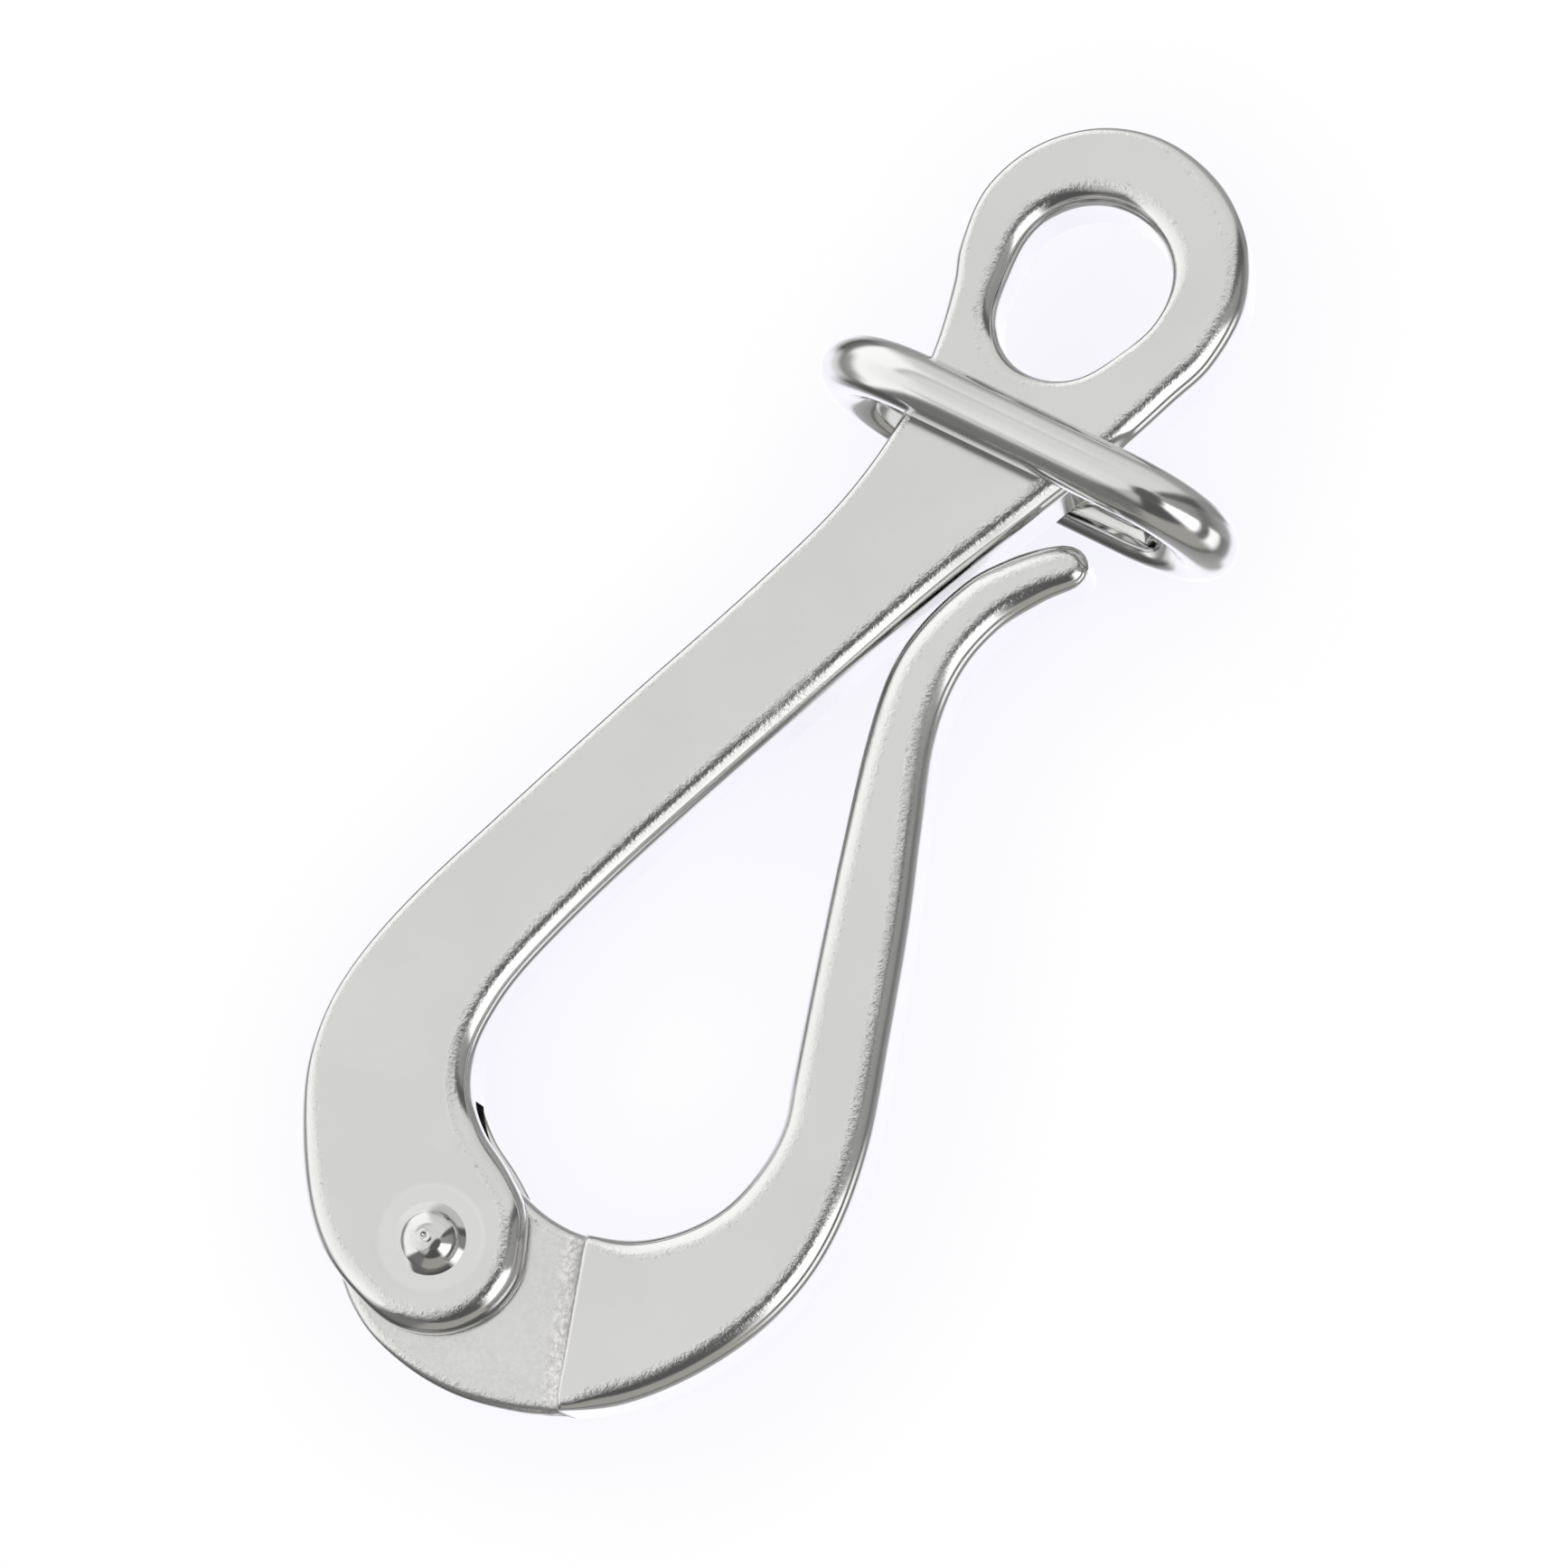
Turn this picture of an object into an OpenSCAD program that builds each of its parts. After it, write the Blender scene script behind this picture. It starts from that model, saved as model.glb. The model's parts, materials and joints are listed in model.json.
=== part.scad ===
// Pelican hook: a quick-release hook whose arm is locked shut by a sliding ring.
// The origin is the middle of the eye, halfway through the plate.
// +Y runs up the hook towards the eye end, +X is the arm's side, and +Z is square to the plate.
// The outlines are drawn about the pivot and then moved so that the eye is at the origin.

/* [Plate] */
// Thickness of the shank and of the arm
plate_t = 7.5; // [6:0.1:8]
// Radius of the rounded edges of the shank and the arm
edge_r = 1; // [0.4:0.1:1.1]

/* [Eye] */
// Distance from the pivot up to the middle of the eye
eye_y = 80.3; // [78:0.1:84]
// Sideways distance from the pivot to the middle of the eye
eye_x = 9.8; // [9:0.1:11]
// Radius of the outer, wide end of the eye's hole
eye_wide_r = 5.7; // [5:0.1:6.2]
// Radius of the inner, narrow end of the eye's hole
eye_narrow_r = 4.7; // [4:0.1:5]

/* [Pivot] */
// Radius of the rivet's shaft
rivet_r = 2; // [1.5:0.05:2.3]
// Radius of the rivet's domed heads
head_r = 2.6; // [2.4:0.1:3.4]
// Height of the rivet's domed heads
head_h = 1.8; // [1:0.1:2.4]
// Running clearance between the rivet and the arm's bore
pivot_gap = 0.05; // [0.02:0.01:0.1]
// Thickness of the arm's tongue
tongue_t = 2.5; // [2:0.1:3]
// Clearance on each side of the tongue in the fork
tongue_gap = 0.15; // [0.1:0.05:0.3]
// Radius of the fork's slot about the pivot
slot_r = 10.4; // [10:0.1:10.8]

/* [Lock ring] */
// Diameter of the ring's wire
wire_d = 4.4; // [4:0.1:4.6]
// Distance between the wire centres over the plate and under it
ring_h = 12.5; // [12.3:0.1:14]
// Length of each straight run of the ring
ring_run = 16.4; // [16:0.1:18]
// How far the ring is drawn back from its locked place
ring_back = 24; // [0:0.5:26]

/* [Hidden] */
// The ring's locked place, about the pivot
ring_home = [6.2, 45.4];
// The ring's lean about X, and the way it slides, measured from +Y
ring_lean = 3;
slide_angle = 12;
// Centres of the two ends of the eye's hole, about the pivot
eye_wide_c = [eye_x + 0.1, eye_y + 1.6];
eye_narrow_c = [eye_x - 0.6, eye_y - 1.9];
eye_outer_c = [10.3, 82.8];
eye_outer_r = 10.5;
cheek_r = 6.6;
edge_steps = 3;
// How far the rounding's last facet is drawn out past the flat side, as a multiple of its own length
over_turn = 1.5;
$fn = 64;

// Control points of the shank, anticlockwise, from the pivot end up the inner side.
// The cheek's round end and the eye are arcs.
shank_inner = [[4.6, 5.1], [2.3, 6.8], [-0.4, 8.3], [-2.4, 10.2], [-3.6, 12.7], [-3.9, 15.6], [-3.4, 19.6],
    [-1.6, 25.7], [1.1, 33.2], [5.3, 43.9], [10.5, 56.9], [14.2, 64.9], [17.2, 71.4], [19.2, 76.6]];
shank_outer = [[1, 77.4], [2.1, 72.2], [2.3, 66.5], [1.2, 59.5], [-1.6, 51.2], [-5.7, 40.7], [-9.8, 29.8],
    [-13.1, 20.6], [-14.6, 13.8], [-14.4, 8.4], [-13, 4], [-10.1, -0.9], [-6.8, -4.2]];

// Control points of the arm, anticlockwise, from the step up the outer side to the curled tip,
// then down the inner side and round the tongue. The tip's end is an arc.
arm_outer = [[13, -6.9], [17.6, -3.9], [21.6, 0.9], [24.4, 6.6], [25.4, 12.6], [24.6, 19.6], [22.2, 27.6],
    [19.8, 35], [17.5, 41.2], [15.3, 47.4], [14.7, 52.4], [15.6, 56.5], [17.5, 59.7]];
tip_c = [17.9, 62.6];
tip_r = 1.6;
arm_inner = [[15.5, 63], [13.6, 61.1], [11.9, 58.6], [10.4, 54.4], [10, 50.4], [10.9, 44.8], [12.9, 37],
    [15.2, 28.9], [17.3, 21.8], [18.3, 18.4], [18.3, 15], [17.4, 11.6], [15.4, 8.7], [12.6, 6.5], [9.4, 5.3],
    [6.4, 5.2], [3.7, 5.8], [1.1, 6.7], [-2.3, 6.6], [-5.4, 4.8], [-7.1, 1.7], [-7.2, -1.8], [-5.5, -5],
    [-2.2, -7.5], [1.8, -8.7], [5.8, -8.9], [9.6, -8.2]];
// The step from the tongue to the arm's full thickness, from the inner side to the outer side
step_in = [9.3, 6.2];
step_out = [14.2, -8.2];
// The far side of the space cut away beside the tongue
step_far = [[-9, -12], [-9, 12]];

// Points on an arc of radius r about c, from angle a to angle b
function arc(c, r, a, b, n) = [for (i = [0 : n]) c + r * [cos(a + (b - a) * i / n), sin(a + (b - a) * i / n)]];

// One point of the smooth curve from b to c, with its neighbours a and d
function between(a, b, c, d, t) =
    0.5 * (2 * b + (c - a) * t + (2 * a - 5 * b + 4 * c - d) * t * t + (3 * b - a - 3 * c + d) * t * t * t);

// A smooth closed curve through the control points, with n points from each to the next
function smooth(p, n) = let (m = len(p)) [
    for (i = [0 : m - 1])
        for (j = [0 : n - 1]) between(p[(i + m - 1) % m], p[i], p[(i + 1) % m], p[(i + 2) % m], j / n)
];

// The outline moved inwards by d, along its own normals
function inset(p, d) = let (m = len(p)) [
    for (i = [0 : m - 1])
        let (along = p[(i + 1) % m] - p[(i + m - 1) % m])
            p[i] + d * [-along[1], along[0]] / norm(along)
];

// A plate with this outline, middle on z = 0, and its edges rounded.
// The rounded solid runs a little past both flat sides, and a slab cuts those off in one plane.
module rounded_plate(outline, thickness, r, steps) {
    before = [1 - cos(90 - 90 / steps), 1 - sin(90 - 90 / steps)];
    ends = [
        for (i = [0 : steps])
            i == 0 ? r * (before + over_turn * ([1, 0] - before)) : r * [1 - sin(90 * i / steps), 1 - cos(90 * i / steps)]
    ];
    levels = concat(
        [for (i = [0 : steps]) [ends[i][0], ends[i][1] - thickness / 2]],
        [for (i = [steps : -1 : 0]) [ends[i][0], thickness / 2 - ends[i][1]]]
    );
    m = len(outline);
    last = len(levels) - 1;
    points = [for (level = levels) for (q = inset(outline, level[0])) [q[0], q[1], level[1]]];
    walls = [
        for (k = [0 : last - 1])
            for (i = [0 : m - 1])
                [k * m + i, (k + 1) * m + i, (k + 1) * m + (i + 1) % m, k * m + (i + 1) % m]
    ];
    bottom = [for (i = [0 : m - 1]) i];
    top = [for (i = [m - 1 : -1 : 0]) last * m + i];
    intersection() {
        polyhedron(points, concat([bottom, top], walls));
        cube([300, 300, thickness], center = true);
    }
}

// The hole of the eye: two round ends and the straight sides between them
module eye_hole() {
    translate([0, 0, -plate_t])
        linear_extrude(2 * plate_t)
            hull() {
                translate(eye_wide_c)
                    circle(eye_wide_r);
                translate(eye_narrow_c)
                    circle(eye_narrow_r);
            }
}

// The shank: a flat bar with an eye at one end and a fork at the other
module shank_body() {
    shank_points = concat(
        arc([0, 0], cheek_r, -112, 32, 5),
        shank_inner,
        arc(eye_outer_c, eye_outer_r, -14, 196, 8),
        shank_outer
    );
    color("gainsboro")
        difference() {
            rounded_plate(smooth(shank_points, 3), plate_t, edge_r, edge_steps);
            eye_hole();
            cylinder(h = tongue_t + 2 * tongue_gap, r = slot_r, center = true);
            cylinder(h = 2 * plate_t, r = rivet_r, center = true);
        }
}

// The arm: a thin tongue in the fork, then a full-thickness bow and a tip that curls outwards
module hook_arm() {
    arm_points = concat(arm_outer, arc(tip_c, tip_r, -30, 115, 3), arm_inner);
    color("lightgray")
        difference() {
            rounded_plate(smooth(arm_points, 3), plate_t, edge_r, edge_steps);
            for (side = [0, 1])
                mirror([0, 0, side])
                    translate([0, 0, tongue_t / 2])
                        linear_extrude(plate_t)
                            polygon(concat([step_out, step_in], [step_far[1], step_far[0]]));
            cylinder(h = 2 * plate_t, r = rivet_r + pivot_gap, center = true);
        }
}

// The rivet: a plain shaft with a domed head on each side of the fork
module pivot_rivet() {
    dome_r = (head_r * head_r + head_h * head_h) / (2 * head_h);
    color("silver") {
        cylinder(h = plate_t, r = rivet_r, center = true);
        for (side = [0, 1])
            mirror([0, 0, side])
                intersection() {
                    translate([0, 0, plate_t / 2 + head_h - dome_r])
                        sphere(dome_r);
                    translate([0, 0, plate_t / 2])
                        cylinder(h = head_h + 1, r = head_r + 1);
                }
    }
}

// The lock ring: a long link of round wire round the shank and the arm
module lock_ring() {
    color("whitesmoke")
        translate([ring_home[0] + ring_back * sin(slide_angle), ring_home[1] + ring_back * cos(slide_angle), 0])
            rotate([90 - ring_lean, 0, 0])
                for (side = [0, 180])
                    rotate([0, 0, side]) {
                        translate([0, ring_h / 2, 0])
                            rotate([0, 90, 0])
                                cylinder(h = ring_run, r = wire_d / 2, center = true);
                        translate([ring_run / 2, 0, 0])
                            rotate([0, 0, -90])
                                rotate_extrude(angle = 180)
                                    translate([ring_h / 2, 0])
                                        circle(wire_d / 2);
                    }
}

// Everything is drawn about the pivot, and placed with the eye at the origin
module place() translate([-eye_x, -eye_y, 0]) children();

place() shank_body();
place() hook_arm();
place() pivot_rivet();
place() lock_ring();
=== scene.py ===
import json
import math

import bpy
import numpy as np
from mathutils import Matrix, Vector
from mathutils.geometry import tessellate_polygon


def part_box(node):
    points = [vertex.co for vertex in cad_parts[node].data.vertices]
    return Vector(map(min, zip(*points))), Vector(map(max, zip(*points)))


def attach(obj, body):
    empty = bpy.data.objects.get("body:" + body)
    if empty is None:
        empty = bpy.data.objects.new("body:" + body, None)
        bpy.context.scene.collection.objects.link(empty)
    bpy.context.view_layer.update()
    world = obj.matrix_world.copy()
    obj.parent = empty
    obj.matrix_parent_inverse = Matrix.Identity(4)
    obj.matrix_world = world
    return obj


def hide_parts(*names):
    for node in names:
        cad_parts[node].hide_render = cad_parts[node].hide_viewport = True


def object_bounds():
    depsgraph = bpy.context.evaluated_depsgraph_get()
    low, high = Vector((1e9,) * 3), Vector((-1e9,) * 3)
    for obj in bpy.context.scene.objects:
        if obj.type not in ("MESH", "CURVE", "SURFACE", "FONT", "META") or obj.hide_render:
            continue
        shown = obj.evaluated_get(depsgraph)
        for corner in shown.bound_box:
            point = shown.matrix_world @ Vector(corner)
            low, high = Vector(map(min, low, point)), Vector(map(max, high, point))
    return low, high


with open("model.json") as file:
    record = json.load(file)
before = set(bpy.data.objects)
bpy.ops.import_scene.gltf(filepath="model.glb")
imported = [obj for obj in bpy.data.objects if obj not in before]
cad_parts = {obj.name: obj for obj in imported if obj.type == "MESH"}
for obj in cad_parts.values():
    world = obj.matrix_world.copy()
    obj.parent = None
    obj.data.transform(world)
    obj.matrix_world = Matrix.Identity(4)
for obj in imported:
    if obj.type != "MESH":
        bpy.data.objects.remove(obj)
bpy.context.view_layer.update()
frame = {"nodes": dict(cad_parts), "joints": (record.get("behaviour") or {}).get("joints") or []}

MM = 0.001
joints = {j["name"]: j for j in frame["joints"]}
pivot = np.array(joints["arm_pivot"]["pos_m"]) / MM
boxes = {name: [np.array(v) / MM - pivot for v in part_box(name)] for name in frame["nodes"]}

# ---------------------------------------------------------------- sizes, mm about the pivot

HALF_T = boxes["hook_arm"][1][2]  # half the plate's thickness
EDGE_R = 1.65  # full rounding of the plates' edges
BEND_SHARE = 0.72  # the most of a bend's radius that the rounding of its edge may take
ROUNDING_BLUR = 4  # columns to each side over which the rounding changes
# The shank's edges that face the keen side have lost less to polishing: the share of the full radius
# that they lack, and how squarely they face it, as a cosine, where that begins and over which it grows
KEEN_SIDE, KEEN_LOSS = math.radians(140), 0.62
KEEN_FROM, KEEN_GROWS = 0.3, 0.4
RIM, NARROW_RIM = 0.28, 0.12  # width of the worn band inside each flat side's edge
WALL_WEAR = 0.3  # the least wear on the walls and their rounded edges
WEAR_FROM = 30  # an edge's wear grows with its normal's rise, from 0 at this many degrees to 1 at 90
FILLET_STEPS = 9
SPACING = 0.45  # between the columns of a wall
HOLE_STEPS = 72  # round the rivet's holes

CHEEK_R = 6.6
TONGUE_HALF, TONGUE_EDGE_R = 1.25, 0.85
SLOT_HALF, SLOT_R, SLOT_EDGE_R = 1.4, 10.4, 0.35
SLOT_RISES, SLOT_WEAR = (0, 30, 60, 90), 0.2
SLOT_FADE = 6  # columns over which the rounding of the slot's edge dies out at each end
ROOT_STEPS = 60  # round the slot's root

BORE_R, SHAFT_R = 2.05, 2.0
HEAD_R, HEAD_H, HEAD_BULGE = 2.6, 1.8, 3.0
HEAD_STEPS, HEAD_WEAR = 96, 0.1
PUNCH_R, PUNCH_DEPTH = 0.16, 0.17  # the punch mark in the middle of each head
LIP_R, LIP_WIDTH, LIP_H = 0.36, 0.12, 0.03  # the ridge that the punch raised round it
MARK_RINGS, DOME_RINGS = (0.02, 0.6, 18), (0.66, HEAD_R, 26)  # first radius, last radius, count

EYE_WIDE_C, EYE_WIDE_R = (9.9, 81.9), 5.7
EYE_NARROW_C, EYE_NARROW_R = (9.2, 78.4), 4.7
EYE_OUTER_C, EYE_OUTER_R = (10.3, 82.8), 10.5
EYE_EDGE_R = 1.6
EYE_STRIP = 3 * RIM  # the least flat steel between the rounding of the shank's edge and the eye's
EYE_WIDE_STEPS, EYE_NARROW_STEPS = 60, 50

SHANK_INNER = [
    (4.6, 5.1), (2.3, 6.8), (-0.4, 8.3), (-2.4, 10.2), (-3.6, 12.7), (-3.9, 15.6), (-3.4, 19.6),
    (-1.6, 25.7), (1.1, 33.2), (5.3, 43.9), (10.5, 56.9), (14.2, 64.9), (17.2, 71.4), (19.2, 76.6),
]
SHANK_OUTER = [
    (1, 77.4), (2.1, 72.2), (2.3, 66.5), (1.2, 59.5), (-1.6, 51.2), (-5.7, 40.7), (-9.8, 29.8),
    (-13.1, 20.6), (-14.6, 13.8), (-14.4, 8.4), (-13, 4), (-10.1, -0.9), (-6.8, -4.2),
]
ARM_OUTER = [
    (13, -6.9), (17.6, -3.9), (21.6, 0.9), (24.4, 6.6), (25.4, 12.6), (24.6, 19.6), (22.2, 27.6),
    (19.8, 35), (17.5, 41.2), (15.3, 47.4), (14.7, 52.4), (15.6, 56.5), (17.5, 59.7),
]
TIP_C, TIP_R = (17.9, 62.6), 1.6
ARM_INNER = [
    (15.5, 63), (13.6, 61.1), (11.9, 58.6), (10.4, 54.4), (10, 50.4), (10.9, 44.8), (12.9, 37),
    (15.2, 28.9), (17.3, 21.8), (18.3, 18.4), (18.3, 15), (17.4, 11.6), (15.4, 8.7), (12.6, 6.5), (9.4, 5.3),
    (6.4, 5.2), (3.7, 5.8), (1.1, 6.7), (-2.3, 6.6), (-5.4, 4.8), (-7.1, 1.7), (-7.2, -1.8), (-5.5, -5),
    (-2.2, -7.5), (1.8, -8.7), (5.8, -8.9), (9.6, -8.2),
]
STEP_IN, STEP_OUT = np.array([9.3, 6.2]), np.array([14.2, -8.2])
STEP_HOLLOW_R, STEP_HOLLOW_RISE, STEP_HOLLOW_ROWS = 2.5, 40, 8
STEP_EDGE_R, STEP_EDGE_ROWS = 0.38, 5
STEP_DRAFT, STEP_FOOT = 0.12, 0.04  # how far the riser has leant back at its top edge, and at its foot
STEP_TAPER = 3.0  # how far from the step the arm's edges take to reach their full rounding
# Rough cast skin: on the tongue, in the step's corner, and 1 in its hollow between these shares of its width
# The corner's share above 1 is painted shade, which darkens the crease at the riser's foot.
TONGUE_CAST, CORNER_CAST_AND_SHADE = 0.3, 1.3
CAST_FROM, CAST_TO = 0.6, 0.15

RING_RUN, RING_H, WIRE_R, RING_LEAN = 16.4, 12.5, 2.2, math.radians(3)
RING_BEND_STEPS, RING_RUN_STEPS, WIRE_STEPS, RING_WEAR = 48, 24, 48, 0.06


# ---------------------------------------------------------------- curves


def arc(centre, radius, start, end, steps):
    """Points on a circle from one angle to another, in degrees."""
    angles = np.radians(np.linspace(start, end, steps + 1))
    return [(centre[0] + radius * math.cos(a), centre[1] + radius * math.sin(a)) for a in angles]


def closed_curve(control, per):
    """A smooth closed curve through the control points, with per points from each to the next."""
    p = np.array(control, float)
    a, b, c, d = np.roll(p, 1, 0), p, np.roll(p, -1, 0), np.roll(p, -2, 0)
    cubic = 3 * b - a - 3 * c + d
    rows = [
        0.5 * (2 * b + (c - a) * t + (2 * a - 5 * b + 4 * c - d) * t**2 + cubic * t**3)
        for t in np.arange(per) / per
    ]
    return np.stack(rows, 1).reshape(-1, 2)


def outward(p):
    """Unit normals to the right of the way a closed curve runs: out of an anticlockwise one."""
    along = np.roll(p, -1, 0) - np.roll(p, 1, 0)
    n = np.stack([along[:, 1], -along[:, 0]], 1)
    return n / np.linalg.norm(n, axis=1)[:, None]


def run_length(p):
    """How far along the line each of its points is."""
    return np.concatenate([[0], np.cumsum(np.linalg.norm(np.diff(p, axis=0), axis=1))])


def even(p, spacing, closed=True):
    """The curve again, with its points about this far apart."""
    line = np.vstack([p, p[:1]]) if closed else p
    run = run_length(line)
    count = max(2, int(round(run[-1] / spacing)))
    at = np.linspace(0, run[-1], count, endpoint=not closed)
    return np.stack([np.interp(at, run, line[:, k]) for k in (0, 1)], 1)


def blurred(values, width):
    """A running mean round a closed loop, twice."""
    for _ in range(2):
        values = np.mean([np.roll(values, k, axis=0) for k in range(-width, width + 1)], axis=0)
    return values


def roundings(p, most):
    """Each point's edge radius: as large as the bend there leaves room for, up to most."""
    n = outward(p)
    before, after = np.roll(n, 1, 0), np.roll(n, -1, 0)
    turn = np.arcsin(np.clip(before[:, 0] * after[:, 1] - before[:, 1] * after[:, 0], -1, 1))
    run = np.linalg.norm(np.roll(p, -1, 0) - np.roll(p, 1, 0), axis=1)
    bend = blurred(turn / run, width=2)
    room = np.minimum(np.where(bend > 0, BEND_SHARE / np.maximum(bend, 1e-6), most), most)
    nearby = range(-ROUNDING_BLUR, ROUNDING_BLUR + 1)
    lowest = np.min([np.roll(room, k) for k in nearby], axis=0)
    return np.minimum(blurred(lowest, ROUNDING_BLUR), most)


def keen(p):
    """Each point's share of the full edge radius: smaller where the edge faces the keen side."""
    facing = outward(p) @ (math.cos(KEEN_SIDE), math.sin(KEEN_SIDE))
    return 1 - KEEN_LOSS * np.clip((facing - KEEN_FROM) / KEEN_GROWS, 0, 1)


def unit(v):
    return v / np.linalg.norm(v, axis=-1, keepdims=True)


def upright(count):
    """The same upward normal for each of so many points."""
    return np.tile([0.0, 0.0, 1.0], (count, 1))


def at_height(flat, z):
    """Points or directions in the plane, with a height: one for all, or one for each."""
    return np.column_stack([flat, np.broadcast_to(z, len(flat))])


# ---------------------------------------------------------------- mesh building

NO_AREA = 1e-9  # twice the area in mm2 below which a flat triangle is left out


class Shape:
    """Vertices, faces and each face corner's own normal, in mm about the pivot.

    Each vertex also has a share of edge wear and of rough cast skin, which the materials read; a cast share
    above 1 is painted shade."""

    def __init__(self):
        self.verts, self.edge, self.cast, self.faces, self.normals = [], [], [], [], []

    def add(self, points, edge=0.0, cast=0.0):
        start = len(self.verts)
        self.verts.extend(np.asarray(points, float).tolist())
        self.edge.extend(np.broadcast_to(edge, len(points)).tolist())
        self.cast.extend(np.broadcast_to(cast, len(points)).tolist())
        return np.arange(start, start + len(points))

    def face(self, corners, normals):
        self.faces.append([int(c) for c in corners])
        self.normals.append([tuple(float(x) for x in n) for n in normals])

    def grid(self, ids, normals, wrap=True, skip=None):
        """Quads between neighbouring columns and levels. ids and normals run (columns, levels)."""
        columns, levels = ids.shape
        for i in range(columns if wrap else columns - 1):
            j = (i + 1) % columns
            for k in range(levels - 1):
                if skip is None or not skip(i, j, k):
                    corners = [(i, k), (i, k + 1), (j, k + 1), (j, k)]
                    self.face([ids[c] for c in corners], [normals[c] for c in corners])

    def flat(self, loops, up):
        """A flat face with holes, facing +Z or -Z. Each loop is a list of vertex numbers."""
        rings = [[Vector(self.verts[i]) for i in loop] for loop in loops]
        numbers = [i for loop in loops for i in loop]
        for tri in tessellate_polygon(rings):
            a, b, c = (np.array(self.verts[numbers[t]]) for t in tri)
            area = np.cross(b - a, c - a)[2]
            if abs(area) > NO_AREA:
                order = tri if (area > 0) == (up > 0) else tri[::-1]
                self.face([numbers[t] for t in order], [(0, 0, up)] * 3)

    def build(self, name, body, replaced, material):
        mesh = bpy.data.meshes.new(name)
        points = (np.array(self.verts) + pivot) * MM
        mesh.from_pydata(points.tolist(), [], self.faces)
        mesh.polygons.foreach_set("use_smooth", [True] * len(mesh.polygons))
        for layer, values in (("edge", self.edge), ("cast", self.cast)):
            mesh.attributes.new(layer, "FLOAT", "POINT").data.foreach_set("value", values)
        mesh.normals_split_custom_set([n for face in self.normals for n in face])
        mesh.materials.append(material)
        piece = bpy.data.objects.new(name, mesh)
        bpy.context.scene.collection.objects.link(piece)
        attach(piece, body)
        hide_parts(replaced)


def half_wall(shape, p, halves, radii, rims, tops, sign, cast=0.0):
    """One flat side's rim and rounded edge, from the rim outwards: lists of ids and of normals.

    sign is 1 for the upper side and -1 for the lower one, and tops are the upper side's own normals."""
    n = outward(p)
    n3 = at_height(n, 0)
    tops = tops * [1, 1, sign]
    rises = [90, 90] + [90 * (1 - k / FILLET_STEPS) for k in range(1, FILLET_STEPS + 1)]
    ids, normals = [], []
    for level, rise in enumerate(rises):
        cos, sin = math.cos(math.radians(rise)), math.sin(math.radians(rise))
        inward = radii * (1 - cos) + (rims if level == 0 else 0)
        flat = p - n * inward[:, None]
        z = sign * (halves - radii * (1 - sin))
        wear = 0.0 if level == 0 else max(WALL_WEAR, (rise - WEAR_FROM) / (90 - WEAR_FROM))
        ids.append(shape.add(at_height(flat, z), wear, cast))
        normals.append(unit(n3 * cos + tops * sin))
    return ids, normals


def whole_wall(shape, p, halves, radii, rims, tops, cast=0.0):
    """Both sides' rounded edges and the wall between them, once round the loop. Returns the ids."""
    top_ids, top_normals = half_wall(shape, p, halves, radii, rims, tops, 1, cast)
    low_ids, low_normals = half_wall(shape, p, halves, radii, rims, tops, -1, cast)
    ids = np.stack(top_ids + low_ids[::-1], 1)
    shape.grid(ids, np.stack(top_normals + low_normals[::-1], 1))
    return ids


def bore(shape, radius, heights):
    """A plain round hole about the pivot between two heights. Returns its two loops."""
    p = np.array(arc((0, 0), radius, 0, -360, HOLE_STEPS)[:-1])
    n = at_height(outward(p), 0)
    ids = np.stack([shape.add(at_height(p, z)) for z in heights], 1)
    shape.grid(ids, np.stack([n, n], 1))
    return ids.T


# ---------------------------------------------------------------- the shank


def make_shank(material):
    shape = Shape()
    p, slotted = shank_loop()
    eye = eye_loop()
    to_eye = np.min(np.linalg.norm(p[:, None] - eye[None], axis=2), axis=1)
    room = to_eye - EYE_EDGE_R - EYE_STRIP
    radii = blurred(np.minimum(roundings(p, EDGE_R) * keen(p), room), ROUNDING_BLUR)
    upper, upper_normals = shank_half(shape, p, slotted, radii, 1)
    lower, lower_normals = shank_half(shape, p, slotted, radii, -1)
    ids = np.stack(upper + lower[::-1], 1)
    normals = np.stack(upper_normals + lower_normals[::-1], 1)
    above, below = len(upper) - 1, len(upper)  # the levels at the slot's two flat sides
    shape.grid(ids, normals, skip=lambda i, j, k: k == above and i < slotted - 1 and j <= slotted - 1)

    top_hole, slot_top_hole = bore(shape, SHAFT_R, (HALF_T, SLOT_HALF))
    slot_low_hole, low_hole = bore(shape, SHAFT_R, (-SLOT_HALF, -HALF_T))
    root = slot_root(p[slotted - 1], p[0])
    wall = []
    for sign, level, hole in ((1, above, slot_top_hole), (-1, below, slot_low_hole)):
        inner = shape.add(at_height(root[1:-1], sign * SLOT_HALF))
        wall.append([ids[slotted - 1, level], *inner, ids[0, level]])
        shape.flat([[*ids[:slotted, level], *inner], hole], -sign)
    facing = at_height(-unit(root), 0)
    shape.grid(np.array(wall).T[:, ::-1], np.stack([facing, facing], 1), wrap=False)

    rounding = EYE_EDGE_R * blurred(keen(eye), width=2)
    eye_ids = whole_wall(shape, eye, HALF_T, rounding, RIM, upright(len(eye)))
    shape.flat([ids[:, 0], eye_ids[:, 0], top_hole], 1)
    shape.flat([ids[:, -1], eye_ids[:, -1], low_hole], -1)
    shape.build("shank_plate", "shank", "shank_body", material)


def shank_loop():
    """The shank's outline, from where it comes within the slot's radius, and the count that are."""
    control = (
        arc((0, 0), CHEEK_R, -112, 32, 5) + SHANK_INNER
        + arc(EYE_OUTER_C, EYE_OUTER_R, -14, 196, 8) + SHANK_OUTER
    )
    p = even(blurred(even(closed_curve(control, per=24), SPACING / 3), width=2), SPACING)
    in_slot = np.hypot(p[:, 0], p[:, 1]) < SLOT_R
    first = [i for i in range(len(p)) if in_slot[i] and not in_slot[i - 1]][0]
    return np.roll(p, -first, 0), int(in_slot.sum())


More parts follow.
